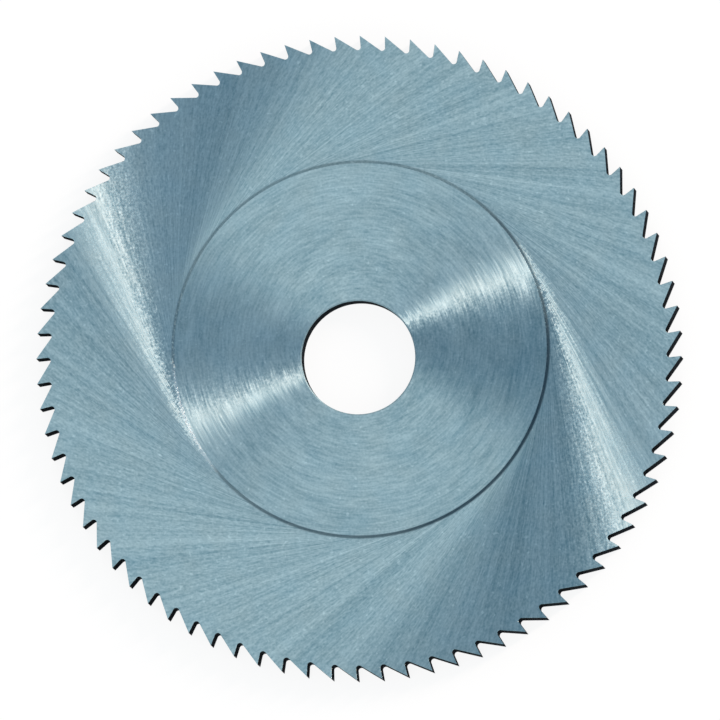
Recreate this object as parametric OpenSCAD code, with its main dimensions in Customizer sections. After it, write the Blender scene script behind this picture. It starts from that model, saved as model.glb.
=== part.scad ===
// Metal slitting saw with fine angular teeth and hollow-ground sides.
// It lies flat: the lower faces are at Z = 0 and the bore axis is the Z axis.
// Seen from above, the teeth point counterclockwise, and one tooth tip lies on the X axis.

/* [Blade] */
// Diameter over the tooth tips, mm
outer_d = 125; // [110:1:160]
// Thickness at the tooth tips and at the hub, mm
thickness = 6; // [4:0.5:8]

/* [Bore] */
// Diameter of the bore for the arbor, mm
bore_d = 22; // [16:1:32]
// Leg of the chamfer at each end of the bore, mm
bore_chamfer = 0.25; // [0.1:0.05:0.8]

/* [Teeth] */
// Number of teeth
tooth_count = 80; // [64:1:100]
// Slope of a tooth's straight back, from the tangent at its tip, degrees
back_angle = 35.5; // [30:0.5:45]
// Hook of a tooth's cutting face, from the radius to its tip, degrees
rake_angle = 5.5; // [0:0.5:12]
// Radius in the gullet between two teeth, mm
gullet_r = 0.6; // [0.3:0.05:1]

/* [Sides] */
// Diameter of the flat hub faces, mm
hub_d = 72.2; // [50:0.1:90]
// Distance of the upper hub face from the bore axis along X, mm
hub_shift_x = 0.4; // [-1.5:0.1:1.5]
// Distance of the upper hub face from the bore axis along Y, mm
hub_shift_y = 1.6; // [-2:0.1:2]
// Slope of the hollow-ground sides, which gives the teeth side clearance, degrees
clearance_angle = 0.7; // [0.3:0.05:1.2]
// Radius that the corner of the grinding wheel leaves at the edge of a hub face, mm
wheel_corner_r = 1.6; // [0.9:0.1:2.5]

/* [Hidden] */
$fn = 96;

// How far solids and cuts run past each other, so that their surfaces cross
overrun = 1;

tip_r = outer_d / 2;
bore_r = bore_d / 2;
hub_r = hub_d / 2;

// One tooth gap runs from the tip of a tooth down its back, through the gullet,
// and up the cutting face of the next tooth in the clockwise direction.
pitch = 360 / tooth_count;
tip_gap = 2 * tip_r * sin(pitch / 2);
corner_angle = 90 - back_angle - rake_angle + pitch;
back_len = tip_gap * cos(rake_angle - pitch / 2) / sin(corner_angle);

// The gullet circle bites a little into the back and the face, so that it crosses both lines
gullet_bite = 0.008;
gullet_in = gullet_r - gullet_bite;
gullet_leg = gullet_in / tan(corner_angle / 2);

// Points of the gap below the tooth at the top of the blade
tip = [0, tip_r];
back_dir = [cos(back_angle), -sin(back_angle)];
back_out = [sin(back_angle), cos(back_angle)];
face_dir = [sin(rake_angle - pitch), -cos(rake_angle - pitch)];
gap_corner = tip + back_len * back_dir;
back_foot = gap_corner - gullet_leg * back_dir;
face_foot = gap_corner - gullet_leg * face_dir;
gullet_centre = back_foot + gullet_in * back_out;

// A point turned clockwise about the bore axis
function turned(p, a) = [p.x * cos(a) + p.y * sin(a), p.y * cos(a) - p.x * sin(a)];

// Outline of the toothed rim
module tooth_outline() {
  difference() {
    polygon([
      for (i = [0 : tooth_count - 1])
        for (p = [tip, back_foot, face_foot])
          turned(p, pitch * i)
    ]);
    for (i = [0 : tooth_count - 1])
      translate(turned(gullet_centre, pitch * i))
        circle(r = gullet_r);
  }
}

// Half section below one ground side: flat at the hub, then a hollow flank where the wheel
// corner ran out, then a slope that rises to full thickness at the rim.
module side_section(rim_r) {
  slope = tan(clearance_angle);
  hub_depth = (rim_r - hub_r) * slope;
  corner_depth = min(1.3 * hub_depth, wheel_corner_r);
  corner_reach = sqrt(pow(wheel_corner_r, 2) - pow(wheel_corner_r - corner_depth, 2));
  union() {
    polygon([
      [0, -overrun],
      [rim_r + overrun, -overrun],
      [rim_r + overrun, thickness + overrun * slope],
      [0, thickness - rim_r * slope]
    ]);
    difference() {
      square([hub_r + corner_reach, thickness]);
      translate([hub_r + corner_reach, thickness + wheel_corner_r - corner_depth])
        circle(r = wheel_corner_r);
    }
  }
}

// Everything below the upper side, which was ground about the middle of the upper hub face
module below_upper_side() {
  translate([hub_shift_x, hub_shift_y, 0])
    rotate_extrude()
      side_section(tip_r + norm([hub_shift_x, hub_shift_y]));
}

// Everything above the lower side, which was ground about the bore
module above_lower_side() {
  translate([0, 0, thickness])
    mirror([0, 0, 1])
      rotate_extrude()
        side_section(tip_r);
}

// The bore through the hub, with a chamfer at each end
module bore() {
  translate([0, 0, -overrun])
    cylinder(r = bore_r, h = thickness + 2 * overrun);
  for (end = [0, 1])
    translate([0, 0, end * thickness])
      mirror([0, 0, end])
        translate([0, 0, -overrun])
          cylinder(r1 = bore_r + bore_chamfer + overrun, r2 = bore_r, h = bore_chamfer + overrun);
}

module saw_blade() {
  color([0.55, 0.66, 0.70])
    difference() {
      intersection() {
        below_upper_side();
        above_lower_side();
        translate([0, 0, -overrun])
          linear_extrude(height = thickness + 2 * overrun)
            tooth_outline();
      }
      bore();
    }
}

saw_blade();
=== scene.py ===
"""Looks of the slitting saw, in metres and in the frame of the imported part."""
import math

import bpy
import numpy as np
from mathutils import Matrix, Vector


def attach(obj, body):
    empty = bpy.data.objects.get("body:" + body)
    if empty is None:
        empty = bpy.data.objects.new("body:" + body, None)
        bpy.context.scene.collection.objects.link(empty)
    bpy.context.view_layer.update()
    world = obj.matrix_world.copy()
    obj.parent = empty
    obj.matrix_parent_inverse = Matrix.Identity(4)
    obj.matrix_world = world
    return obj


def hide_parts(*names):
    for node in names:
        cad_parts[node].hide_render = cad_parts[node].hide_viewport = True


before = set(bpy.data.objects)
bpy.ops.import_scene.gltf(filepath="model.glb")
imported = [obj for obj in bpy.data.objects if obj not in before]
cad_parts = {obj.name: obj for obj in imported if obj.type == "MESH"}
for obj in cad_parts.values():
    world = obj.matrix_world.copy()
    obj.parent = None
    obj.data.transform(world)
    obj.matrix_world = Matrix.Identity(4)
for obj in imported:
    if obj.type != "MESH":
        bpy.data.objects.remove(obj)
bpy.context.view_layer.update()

# Sizes of the blade, as in the part's source
MM = 0.001
TO_MM = 1000
TIP_R = 62.5 * MM
THICK = 6 * MM
BORE_R = 11 * MM
CHAMFER = 0.25 * MM
TEETH = 80
BACK = math.radians(35.5)
RAKE = math.radians(5.5)
GULLET_R = 0.6 * MM
GULLET_BITE = 0.008 * MM
HUB_R = 36.1 * MM
HUB_X = 0.4 * MM
HUB_Y = 1.6 * MM
SLOPE = math.tan(math.radians(0.7))
WHEEL_R = 1.6 * MM
FLANK_RUN = 1.3

# Break on the edges of the teeth
EDGE_BREAK = 0.03 * MM

# Part of the upper hub edge that is worn smooth: its middle, where it is full, where it ends
WORN_AT = math.radians(202)
WORN_FULL = math.radians(11)
WORN_END = math.radians(21)
WORN_SLOPE = 0.30

# Divisions of the mesh, and the radius of its last full loop inside the gullets
COLS_PER_TOOTH = 4
COLS = TEETH * COLS_PER_TOOTH
BACK_POINTS = 3
GULLET_POINTS = 13
HUB_LOOPS = 6
FLANK_LOOPS = 6
RING_LOOPS = 8
ROOT_R = 58.6 * MM
SHARP_ANGLE = math.radians(15)

# Material numbers of the blade
GROUND, WALL, CHAMFERED = range(3)

# Colour of the steel, and how it changes with tone: light marks are greyer, dark marks bluer
STEEL = (0.337, 0.487, 0.546)
TONE_STEP = (0.438, 0.487, 0.480)
HUE_STEP = (0.032, 0.0, -0.032)
# Painted shade for the dark line in the corner round the hub
CORNER_PAINTED_SHADE = (0.03, 0.075, 0.115, 1)
# Painted highlight where the worn hub edge meets the two highlights
WORN_EDGE_PAINTED_HIGHLIGHT = (0.74, 0.87, 0.92, 1)
# Walls: steel painted very dark, as painted shade on the walls
WALL_STEEL_PAINTED_SHADE = (0.036, 0.043, 0.050)

# How far the middle of the round marks lies above the middle of the hub face, in millimetres
HUB_MARKS_UP = 0.8

# Floor: its paint, its glow where it is seen, and the share of lit paint, with the shadow, that is added
FLOOR_HALF = 2.5
FLOOR_DROP = 0.02 * MM
FLOOR_PAINT = (0.8, 0.8, 0.8, 1)
FLOOR_GLOW = 0.895
FLOOR_SHADE = 0.15

# Room light, and the dark flags at its left and right
ROOM = (0.88, 0.925, 0.945, 1)
FLAG = (0.141, 0.249, 0.358, 1)
FLAG_AZIMUTH = math.radians(2)
FLAG_FULL = math.radians(6)
FLAG_END = math.radians(38)

# Place and length of the strip lamps
LAMP_AZIMUTH = math.radians(33)
LAMP_ZENITH = math.radians(60)
LAMP_DISTANCE = 6.0
LAMP_LENGTH = 3.0

# Camera: the width of the picture is 720 pixels at 5.179 pixels a millimetre
VIEW_DISTANCE = 6.0
VIEW_WIDTH = 0.72 / 5.179
VIEW_TARGET = Vector((0.33 * MM, -0.50 * MM, THICK))
VIEW_LEAN = math.radians(7.5)
VIEW_BEARING = math.radians(-47)
VIEW_ROLL = math.radians(0.224)
SENSOR = 36


# Blade mesh

class Surface:
    """Vertices, faces and a material number for each face."""

    def __init__(self):
        self.verts = []
        self.faces = []
        self.slots = []

    def loop(self, points):
        start = len(self.verts)
        self.verts.extend(tuple(p) for p in points)
        return list(range(start, len(self.verts)))

    def face(self, ring, slot):
        self.faces.append(tuple(ring))
        self.slots.append(slot)

    def strip(self, a, b, slot):
        n = len(a)
        for i in range(n):
            j = (i + 1) % n
            self.face((a[i], a[j], b[j], b[i]), slot)


def tooth_points():
    """The outline from one tip to the next, clockwise, with the first tip on +Y."""
    pitch = 2 * math.pi / TEETH
    gap = 2 * TIP_R * math.sin(pitch / 2)
    corner = math.pi / 2 - BACK - RAKE + pitch
    back_len = gap * math.cos(RAKE - pitch / 2) / math.sin(corner)
    inner = GULLET_R - GULLET_BITE
    leg = inner / math.tan(corner / 2)
    tip = np.array([0, TIP_R])
    foot = tip + (back_len - leg) * np.array([math.cos(BACK), -math.sin(BACK)])
    centre = foot + inner * np.array([math.sin(BACK), math.cos(BACK)])
    over = math.acos(inner / GULLET_R)
    arc = np.linspace(-math.pi / 2 - BACK - over, RAKE - pitch + over, GULLET_POINTS)
    gullet = [centre + GULLET_R * np.array([math.cos(a), math.sin(a)]) for a in arc]
    back = [tip + (gullet[0] - tip) * k / BACK_POINTS for k in range(BACK_POINTS)]
    return np.array(back + gullet)


def rim_outline():
    """The whole outline, counterclockwise, starting at the bottom of a gullet."""
    one = tooth_points()
    points = []
    for i in range(TEETH):
        a = 2 * math.pi * i / TEETH
        turn = np.array([[math.cos(a), math.sin(a)], [-math.sin(a), math.cos(a)]])
        points.extend(one @ turn.T)
    bottom = BACK_POINTS + GULLET_POINTS // 2
    return np.roll(np.array(points)[::-1], bottom + 1 - len(one), axis=0), len(one)


def inset(points, d):
    """A closed outline moved inwards by a distance."""
    ahead = np.roll(points, -1, axis=0) - points
    ahead /= np.linalg.norm(ahead, axis=1)[:, None]
    behind = np.roll(ahead, 1, axis=0)
    na = np.c_[-ahead[:, 1], ahead[:, 0]]
    nb = np.c_[-behind[:, 1], behind[:, 0]]
    both = na + nb
    both /= np.linalg.norm(both, axis=1)[:, None]
    return points + both * (d / np.sum(both * na, axis=1))[:, None]


def circle(r, angles, cx=0.0, cy=0.0):
    return np.c_[cx + r * np.cos(angles), cy + r * np.sin(angles)]


def steps(count):
    """Even steps from above 0 up to 1."""
    return np.linspace(0, 1, count + 1)[1:]


class Side:
    """Depth of one ground side below the plane of its hub face."""

    def __init__(self, cx, cy, worn):
        self.cx = cx
        self.cy = cy
        self.worn = worn
        self.rim = TIP_R + math.hypot(cx, cy)
        low = FLANK_RUN * (self.rim - HUB_R) * SLOPE
        self.rise = WHEEL_R - low
        self.reach = math.sqrt(WHEEL_R ** 2 - self.rise ** 2)
        self.foot = self.find_foot()

    def flank(self, d):
        return math.sqrt(WHEEL_R ** 2 - (d - HUB_R - self.reach) ** 2) - self.rise

    def ground(self, d):
        return (self.rim - d) * SLOPE

    def find_foot(self):
        """Distance from the hub's middle at which the flank meets the ground ring."""
        near = HUB_R
        far = HUB_R + self.reach
        for _ in range(60):
            mid = (near + far) / 2
            if self.flank(mid) < self.ground(mid):
                near = mid
            else:
                far = mid
        return near

    def wear(self, bearing):
        """Share of the step at the hub edge that is worn away."""
        end = math.cos(WORN_END)
        t = (math.cos(bearing - WORN_AT) - end) / (math.cos(WORN_FULL) - end)
        t = min(max(t, 0.0), 1.0)
        return self.worn * t * t * (3 - 2 * t)

    def depth(self, xy):
        out = np.zeros(len(xy))
        on_hub = HUB_R + MM * 1e-6
        for i, (x, y) in enumerate(xy - (self.cx, self.cy)):
            d = math.hypot(x, y)
            if d > on_hub:
                sharp = self.flank(d) if d < self.foot else self.ground(d)
                eased = min((d - HUB_R) * WORN_SLOPE, self.ground(d))
                out[i] = sharp + (eased - sharp) * self.wear(math.atan2(y, x))
        return out


def raised(xy, side, top, drop=0.0):
    z = side.depth(xy) + drop
    return np.c_[xy, THICK - z if top else z]


def build_side(s, side, top, rim, per_tooth, angles):
    """Hub face, flank, ground ring and tooth faces of one side. Returns its two edge loops."""
    mouth = circle(BORE_R + CHAMFER, angles)
    hub = circle(HUB_R, angles, side.cx, side.cy)
    foot = circle(side.foot, angles, side.cx, side.cy)
    root = circle(ROOT_R, angles)
    flank = [HUB_R + (side.foot - HUB_R) * t for t in steps(FLANK_LOOPS)]
    paths = [mouth + (hub - mouth) * t for t in steps(HUB_LOOPS)]
    paths += [circle(d, angles, side.cx, side.cy) for d in flank]
    paths += [foot + (root - foot) * t for t in steps(RING_LOOPS)]
    first = last = s.loop(raised(mouth, side, top))
    for path in paths:
        new = s.loop(raised(path, side, top))
        if top:
            s.strip(new, last, GROUND)
        else:
            s.strip(last, new, GROUND)
        last = new
    edge = s.loop(raised(inset(rim, EDGE_BREAK), side, top))
    for i in range(TEETH):
        outer = [edge[(i * per_tooth + k) % len(edge)] for k in range(per_tooth + 1)]
        inner = [last[(i * COLS_PER_TOOTH + k) % COLS] for k in range(COLS_PER_TOOTH + 1)]
        ring = outer + inner[::-1]
        s.face(ring if top else ring[::-1], GROUND)
    return first, edge


def build_blade():
    rim, per_tooth = rim_outline()
    start = math.atan2(rim[0, 1], rim[0, 0])
    angles = start + np.arange(COLS) * 2 * math.pi / COLS
    s = Surface()
    upper = Side(HUB_X, HUB_Y, 1.0)
    lower = Side(0.0, 0.0, 0.0)
    mouth_t, edge_t = build_side(s, upper, True, rim, per_tooth, angles)
    mouth_b, edge_b = build_side(s, lower, False, rim, per_tooth, angles)
    wall_t = s.loop(raised(rim, upper, True, EDGE_BREAK))
    wall_b = s.loop(raised(rim, lower, False, EDGE_BREAK))
    s.strip(wall_t, edge_t, GROUND)
    s.strip(wall_b, wall_t, WALL)
    s.strip(edge_b, wall_b, GROUND)
    bore = circle(BORE_R, angles)
    ring_t = s.loop(np.c_[bore, np.full(COLS, THICK - CHAMFER)])
    ring_b = s.loop(np.c_[bore, np.full(COLS, CHAMFER)])
    s.strip(mouth_t, ring_t, CHAMFERED)
    s.strip(ring_t, ring_b, WALL)
    s.strip(ring_b, mouth_b, CHAMFERED)
    mesh = bpy.data.meshes.new("ground_blade")
    mesh.from_pydata(s.verts, [], s.faces)
    mesh.polygons.foreach_set("material_index", s.slots)
    mesh.polygons.foreach_set("use_smooth", [True] * len(s.faces))
    mesh.update()
    mesh.set_sharp_from_angle(angle=SHARP_ANGLE)
    return mesh


# Node helpers

class Graph:
    """Short ways to add and join shader nodes."""

    # First input and output of the mix node for each kind of value
    MIX_SOCKETS = {"FLOAT": (2, 0), "VECTOR": (4, 1), "RGBA": (6, 2)}

    def __init__(self, tree):
        self.tree = tree
        tree.nodes.clear()

    def add(self, kind, **values):
        node = self.tree.nodes.new(kind)
        for k, v in values.items():
            setattr(node, k, v)
        return node

    def put(self, socket, value):
        if isinstance(value, bpy.types.NodeSocket):
            self.tree.links.new(value, socket)
        else:
            socket.default_value = value

    def math(self, op, *values):
        n = self.add("ShaderNodeMath", operation=op)
        for i, v in enumerate(values):
            self.put(n.inputs[i], v)
        return n.outputs[0]

    def vector(self, op, a, b):
        n = self.add("ShaderNodeVectorMath", operation=op)
        self.put(n.inputs[0], a)
        self.put(n.inputs["Scale" if op == "SCALE" else 1], b)
        return n.outputs[0]

    def total(self, *parts):
        """Sum of values, each times its share."""
        out = self.math("MULTIPLY", *parts[0])
        for value, share in parts[1:]:
            out = self.math("MULTIPLY_ADD", value, share, out)
        return out

    def length(self, u, v):
        return self.math("SQRT", self.math("ADD", self.math("MULTIPLY", u, u), self.math("MULTIPLY", v, v)))

    def range(self, v, a, b, c, d, kind="LINEAR"):
        """The value changes from c to d while v goes from a to b."""
        n = self.add("ShaderNodeMapRange", interpolation_type=kind)
        for i, x in enumerate((v, a, b, c, d)):
            self.put(n.inputs[i], x)
        return n.outputs[0]

    def ease(self, v, a, b, c, d):
        return self.range(v, a, b, c, d, "SMOOTHSTEP")

    def facing(self, angle, middle, end, full):
        """1 near a middle angle, falling smoothly to 0."""
        turn = self.math("COSINE", self.math("SUBTRACT", angle, middle))
        return self.ease(turn, math.cos(end), math.cos(full), 0.0, 1.0)

    def mix(self, f, a, b, kind="FLOAT"):
        first, out = self.MIX_SOCKETS[kind]
        n = self.add("ShaderNodeMix", data_type=kind)
        self.put(n.inputs[0], f)
        self.put(n.inputs[first], a)
        self.put(n.inputs[first + 1], b)
        return n.outputs[out]

    def xyz(self, x, y, z):
        n = self.add("ShaderNodeCombineXYZ")
        for i, v in enumerate((x, y, z)):
            self.put(n.inputs[i], v)
        return n.outputs[0]

    def split(self, vector):
        n = self.add("ShaderNodeSeparateXYZ")
        self.put(n.inputs[0], vector)
        return n.outputs

    def noise(self, vector, detail, rough, scale=1.0):
        n = self.add("ShaderNodeTexNoise")
        self.put(n.inputs["Vector"], vector)
        n.inputs["Scale"].default_value = scale
        n.inputs["Detail"].default_value = detail
        n.inputs["Roughness"].default_value = rough
        return n.outputs[0]


def material(name):
    m = bpy.data.materials.new(name)
    m.use_nodes = True
    g = Graph(m.node_tree)
    out = g.add("ShaderNodeOutputMaterial")
    p = g.add("ShaderNodeBsdfPrincipled")
    g.put(out.inputs["Surface"], p.outputs[0])
    return m, g, p


# Materials of the blade

def ground_steel():
    """Ground faces: straight marks that leave the hub circle as tangents, round marks on the hub."""
    m, g, p = material("ground_steel")
    where = g.add("ShaderNodeTexCoord").outputs["Object"]
    x, y, z = g.split(where)

    # Place in millimetres and bearing, from the middle of the hub face
    upper = g.math("GREATER_THAN", z, THICK / 2)
    px = g.math("MULTIPLY", g.math("SUBTRACT", x, g.math("MULTIPLY", upper, HUB_X)), TO_MM)
    py = g.math("MULTIPLY", g.math("SUBTRACT", y, g.math("MULTIPLY", upper, HUB_Y)), TO_MM)
    hub_r = HUB_R * TO_MM
    phi = g.math("ARCTAN2", py, px)
    out_of_hub = g.math("SUBTRACT", g.length(px, py), hub_r)
    hub = g.math("LESS_THAN", out_of_hub, 0.0)
    worn = g.math("MULTIPLY", g.facing(phi, WORN_AT, WORN_END, WORN_FULL), upper)

    def from_middle(ring_x, ring_y):
        """Distance and bearing from the middle of the marks, and how far straight marks lean from it."""
        mx = g.math("ADD", px, g.mix(hub, ring_x, 0.0))
        my = g.math("ADD", py, g.mix(hub, ring_y, -HUB_MARKS_UP))
        rho = g.length(mx, my)
        lean = g.math("ARCCOSINE", g.math("MINIMUM", g.math("DIVIDE", hub_r, rho), 1.0))
        return rho, g.math("ARCTAN2", my, mx), lean

    # Marks: theta tells one straight mark from the next, and along is the way out on it
    rho, bearing, lean = from_middle(-0.2, -0.1)
    theta = g.math("ADD", bearing, lean)
    along = g.math("SUBTRACT", g.math("MULTIPLY", rho, rho), hub_r ** 2)
    along = g.math("SQRT", g.math("MAXIMUM", along, 0.0))
    cos_t = g.math("COSINE", theta)
    sin_t = g.math("SINE", theta)

    def marks(ring_across, ring_along, hub_along, hub_across, seed, detail, rough):
        """Noise about 0 that is drawn out along the marks; the sizes are waves a radian and a millimetre."""
        turn = g.mix(hub, ring_across, hub_along)
        run = g.mix(hub, g.math("MULTIPLY", along, ring_along), g.math("MULTIPLY", rho, hub_across))
        vector = g.xyz(
            g.math("MULTIPLY", cos_t, turn),
            g.math("MULTIPLY", sin_t, turn),
            g.math("ADD", run, seed),
        )
        return g.math("SUBTRACT", g.noise(vector, detail, rough), 0.5)

    broad = marks(12, 0.015, 2.5, 0.30, seed=3.1, detail=2.0, rough=0.5)
    streak = marks(60, 0.02, 6.0, 1.9, seed=17.7, detail=2.0, rough=0.46)
    grain = marks(110, 0.9, 13.0, 3.2, seed=41.3, detail=1.0, rough=0.5)
    hair = marks(85, 0.14, 4.0, 3.4, seed=71.9, detail=1.0, rough=0.5)
    speck = g.math("SUBTRACT", g.noise(where, 1.0, 0.5, scale=2200), 0.5)
    fleck = g.range(g.noise(where, 0.0, 0.5, scale=1300), 0.75, 0.82, 0.0, 1.0)
    hue = g.math("SUBTRACT", g.noise(where, 1.0, 0.5, scale=170), 0.5)

    # Groove direction: round beside the hub, then out along the straight marks, with a little scatter
    near = g.math("EXPONENT", g.math("DIVIDE", out_of_hub, -1.6))
    far = g.math("EXPONENT", g.math("DIVIDE", out_of_hub, -9.0))
    turn_in = g.total((near, math.radians(15)), (far, math.radians(7.5)))
    turn_in = g.math("SUBTRACT", turn_in, math.radians(2.8))
    _, around, lean_out = from_middle(0.3, g.math("MULTIPLY_ADD", far, -1.8, 0.9))
    swing = g.math("MAXIMUM", g.math("SUBTRACT", lean_out, turn_in), 0.0)
    swing = g.mix(hub, swing, g.math("MULTIPLY_ADD", rho, 0.0027, -0.084))
    by_bore = g.math("EXPONENT", g.math("DIVIDE", g.math("SUBTRACT", rho, BORE_R * TO_MM), -3.0))
    beside = g.mix(hub, g.math("POWER", far, 3.0), g.math("MULTIPLY", by_bore, 0.30))
    scatter = g.total((hair, g.mix(hub, 0.09, 0.20)), (grain, 0.05), (speck, g.mix(hub, 0.17, 0.09)))
    scatter = g.math("MULTIPLY", scatter, g.math("MULTIPLY_ADD", beside, 3.0, 1.0))
    groove = g.math("ADD", g.math("ADD", around, swing), scatter)
    g.put(p.inputs["Tangent"], g.xyz(g.math("COSINE", groove), g.math("SINE", groove), 0.0))

    # Painted shade: a dark line in the corner round the hub, deepest at lower right and none at the left,
    # where the step is worn smooth
    line = g.math(
        "MULTIPLY",
        g.ease(out_of_hub, -0.06, 0.08, 0.0, 1.0),
        g.ease(out_of_hub, 0.33, 0.80, 1.0, 0.0),
    )

    def between(start, end, low, high):
        """A value that changes smoothly between two bearings in degrees."""
        return g.ease(phi, math.radians(start), math.radians(end), low, high)

    depth = g.math("ADD", between(-150, -112, 0.0, 0.50), between(-88, -62, 0.0, 0.34))
    depth = g.math("MULTIPLY", depth, between(-25, -10, 1.0, 0.86))
    depth = g.math("MULTIPLY", depth, between(8, 24, 1.0, 1.17))
    depth = g.math("MULTIPLY", depth, between(32, 62, 1.0, 0.14))
    depth = g.math("MULTIPLY", depth, between(140, 175, 1.0, 0.0))
    depth = g.math("MULTIPLY", depth, g.math("MULTIPLY_ADD", hair, 0.8, 1.0))

    # 1 where the straight marks face a given bearing, which sets what they reflect; used for painted shade
    # and painted light in the tone
    def sector(middle):
        return g.facing(theta, math.radians(middle), math.radians(32), math.radians(8))

    # Tone of the steel: random marks with a few light flecks, plus painted shade that deepens the dark
    # reflections where the marks face the flags at the lower right, painted light that lifts the left dark
    # reflection and the shoulder of the left highlight on the ring, and a faint painted light gradient that
    # is darker towards the top
    tone = g.total(
        (broad, 0.42),
        (streak, g.mix(hub, g.range(along, 8.0, 44.0, 0.86, 0.56), 0.60)),
        (grain, g.mix(hub, 0.64, 0.40)),
        (speck, 0.42),
        (fleck, 0.20),
        (px, 0.0001),
        (py, -0.0003),
        (sector(354), -0.14),
        (sector(312), -0.04),
        (sector(184), g.mix(hub, 0.06, 0.0)),
    )
    change = g.vector("ADD", g.vector("SCALE", TONE_STEP, tone), g.vector("SCALE", HUE_STEP, hue))
    colour = g.vector("ADD", STEEL, change)
    # Painted shade: the corner line darkens the steel
    colour = g.mix(g.math("MULTIPLY", line, depth), colour, CORNER_PAINTED_SHADE, "RGBA")
    # Painted highlight: the corner is lightened where the hub edge is worn smooth and the two highlights
    # meet
    light = g.math("MULTIPLY", line, g.math("MULTIPLY", worn, 0.5))
    g.put(p.inputs["Base Color"], g.mix(light, colour, WORN_EDGE_PAINTED_HIGHLIGHT, "RGBA"))

    # Gloss
    p.inputs["Metallic"].default_value = 1.0
    p.inputs["Anisotropic"].default_value = 1.0
    dull = g.math("MULTIPLY", line, g.math("SUBTRACT", 1.0, worn))
    dull = g.math("MULTIPLY_ADD", dull, 0.3, 0.30)
    g.put(p.inputs["Roughness"], g.math("MULTIPLY_ADD", streak, 0.10, dull))

    # Relief of the marks, on a face that is even where the hub edge is worn smooth
    outside = g.math("GREATER_THAN", out_of_hub, -0.02)
    inside = g.math("LESS_THAN", out_of_hub, 3.6)
    smoothed = g.math("MULTIPLY", worn, g.math("MULTIPLY", outside, inside))
    shape = g.add("ShaderNodeNewGeometry").outputs["Normal"]
    bump = g.add("ShaderNodeBump")
    bump.inputs["Strength"].default_value = 0.25
    bump.inputs["Distance"].default_value = 0.02 * MM
    g.put(bump.inputs["Normal"], g.mix(smoothed, shape, (0, 0, 1), "VECTOR"))
    g.put(bump.inputs["Height"], g.total((streak, 1.0), (grain, 0.6)))
    g.put(p.inputs["Normal"], bump.outputs[0])
    return m


def wall_steel():
    """Walls of the teeth and of the bore: dull steel painted very dark as painted shade, that goes black at
    a flat angle.
    """
    m, g, p = material("tooth_wall_painted_shade_steel")
    where = g.add("ShaderNodeTexCoord").outputs["Object"]
    n = g.noise(g.vector("MULTIPLY", where, (6000, 6000, 250)), 3.0, 0.6)
    g.put(p.inputs["Base Color"], g.vector("SCALE", WALL_STEEL_PAINTED_SHADE, g.range(n, 0.3, 0.7, 0.7, 1.3)))
    g.put(p.inputs["Roughness"], g.range(n, 0.3, 0.7, 0.58, 0.68))
    p.inputs["Metallic"].default_value = 1.0
    p.inputs["Specular Tint"].default_value = (0.0, 0.0, 0.0, 1.0)
    return m


def turned_steel():
    """Chamfers of the bore: matte turned steel."""
    m, g, p = material("chamfer_steel")
    n = g.noise(g.add("ShaderNodeTexCoord").outputs["Object"], 3.0, 0.6, scale=1500)
    g.put(p.inputs["Base Color"], g.vector("SCALE", STEEL, g.range(n, 0.3, 0.7, 0.85, 1.1)))
    g.put(p.inputs["Roughness"], g.range(n, 0.3, 0.7, 0.5, 0.62))
    p.inputs["Metallic"].default_value = 1.0
    return m


# Blade

blade = bpy.data.objects.new("slitting_saw_blade", build_blade())
bpy.context.scene.collection.objects.link(blade)
for mat in (ground_steel(), wall_steel(), turned_steel()):
    blade.data.materials.append(mat)
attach(blade, "root")
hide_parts("saw_blade")


# Floor

def floor_white():
    """White with a soft shadow where it is seen or reflected, and pale paint for other light."""
    m = bpy.data.materials.new("floor_white")
    m.use_nodes = True
    g = Graph(m.node_tree)
    out = g.add("ShaderNodeOutputMaterial")
    paint = g.add("ShaderNodeBsdfDiffuse")
    paint.inputs["Color"].default_value = FLOOR_PAINT
    glow = g.add("ShaderNodeEmission")
    glow.inputs["Strength"].default_value = FLOOR_GLOW
    shaded = g.add("ShaderNodeMixShader")
    shaded.inputs[0].default_value = FLOOR_SHADE
    g.put(shaded.inputs[2], paint.outputs[0])
    white = g.add("ShaderNodeAddShader")
    g.put(white.inputs[0], glow.outputs[0])
    g.put(white.inputs[1], shaded.outputs[0])
    path = g.add("ShaderNodeLightPath").outputs
    seen = g.math("MAXIMUM", path["Is Glossy Ray"], path["Is Transmission Ray"])
    seen = g.math("MAXIMUM", path["Is Camera Ray"], seen)
    mix = g.add("ShaderNodeMixShader")
    g.put(mix.inputs[0], seen)
    g.put(mix.inputs[1], paint.outputs[0])
    g.put(mix.inputs[2], white.outputs[0])
    g.put(out.inputs["Surface"], mix.outputs[0])
    return m


floor_mesh = bpy.data.meshes.new("floor")
corners = [(-1, -1), (1, -1), (1, 1), (-1, 1)]
floor_mesh.from_pydata([(x * FLOOR_HALF, y * FLOOR_HALF, 0) for x, y in corners], [], [(0, 1, 2, 3)])
floor_mesh.materials.append(floor_white())
floor = bpy.data.objects.new("floor", floor_mesh)
bpy.context.scene.collection.objects.link(floor)
floor.location.z = -FLOOR_DROP


# Studio: an even room with two dark flags, and two strip lamps in one place, narrow warm and wide cool

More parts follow.
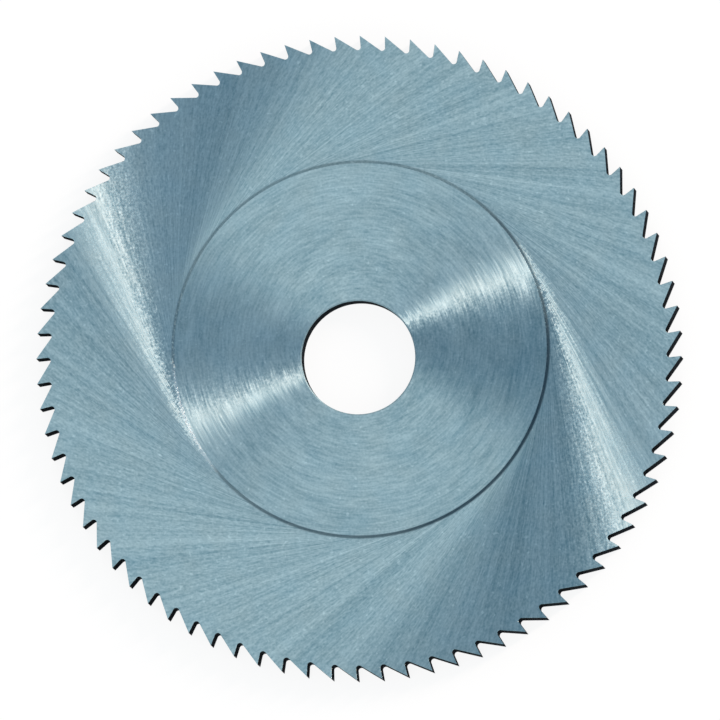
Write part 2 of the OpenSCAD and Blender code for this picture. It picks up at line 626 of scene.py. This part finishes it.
def studio():
    world = bpy.data.worlds.new("studio")
    bpy.context.scene.world = world
    world.use_nodes = True
    g = Graph(world.node_tree)
    out = g.add("ShaderNodeOutputWorld")
    x, y, _ = g.split(g.add("ShaderNodeTexCoord").outputs["Generated"])
    flat = g.math("MAXIMUM", g.length(x, y), 0.001)
    side = g.total((x, math.cos(FLAG_AZIMUTH)), (y, math.sin(FLAG_AZIMUTH)))
    side = g.math("ABSOLUTE", g.math("DIVIDE", side, flat))
    dark = g.ease(side, math.cos(FLAG_END), math.cos(FLAG_FULL), 0.0, 1.0)
    light = g.add("ShaderNodeBackground")
    g.put(light.inputs["Color"], g.mix(dark, ROOM, FLAG, "RGBA"))
    white = g.add("ShaderNodeBackground")
    white.inputs["Color"].default_value = (1, 1, 1, 1)
    white.inputs["Strength"].default_value = 1.0
    mix = g.add("ShaderNodeMixShader")
    g.put(mix.inputs[0], g.add("ShaderNodeLightPath").outputs["Is Camera Ray"])
    g.put(mix.inputs[1], light.outputs[0])
    g.put(mix.inputs[2], white.outputs[0])
    g.put(out.inputs["Surface"], mix.outputs[0])


def direction(zenith, azimuth):
    level = math.sin(zenith)
    return Vector((level * math.cos(azimuth), level * math.sin(azimuth), math.cos(zenith)))


def point_at(obj, target, up):
    back = (obj.location - target).normalized()
    right = up.cross(back).normalized()
    obj.rotation_euler = Matrix((right, back.cross(right), back)).transposed().to_euler()


def strip_lamp(name, width, watts, colour):
    data = bpy.data.lights.new(name, "AREA")
    data.shape = "RECTANGLE"
    data.size = width
    data.size_y = LAMP_LENGTH
    data.energy = watts
    data.color = colour
    lamp = bpy.data.objects.new(name, data)
    bpy.context.scene.collection.objects.link(lamp)
    lamp.location = LAMP_DISTANCE * direction(LAMP_ZENITH, LAMP_AZIMUTH)
    point_at(lamp, Vector((0, 0, 0)), Vector((0, 0, 1)))


studio()
strip_lamp("warm_strip", width=0.34, watts=180, colour=(1.0, 0.60, 0.43))
strip_lamp("cool_strip", width=0.90, watts=88, colour=(0.82, 1.0, 0.98))

# Camera

camera = bpy.data.objects.new("camera", bpy.data.cameras.new("camera"))
bpy.context.scene.collection.objects.link(camera)
camera.data.sensor_width = SENSOR
camera.data.lens = SENSOR * VIEW_DISTANCE / VIEW_WIDTH
camera.data.clip_start = 0.1
camera.data.clip_end = 20
camera.location = VIEW_TARGET + VIEW_DISTANCE * direction(VIEW_LEAN, VIEW_BEARING)
point_at(camera, VIEW_TARGET, Vector((-math.sin(VIEW_ROLL), math.cos(VIEW_ROLL), 0)))
bpy.context.scene.camera = camera

bpy.context.scene.view_settings.view_transform = "Standard"
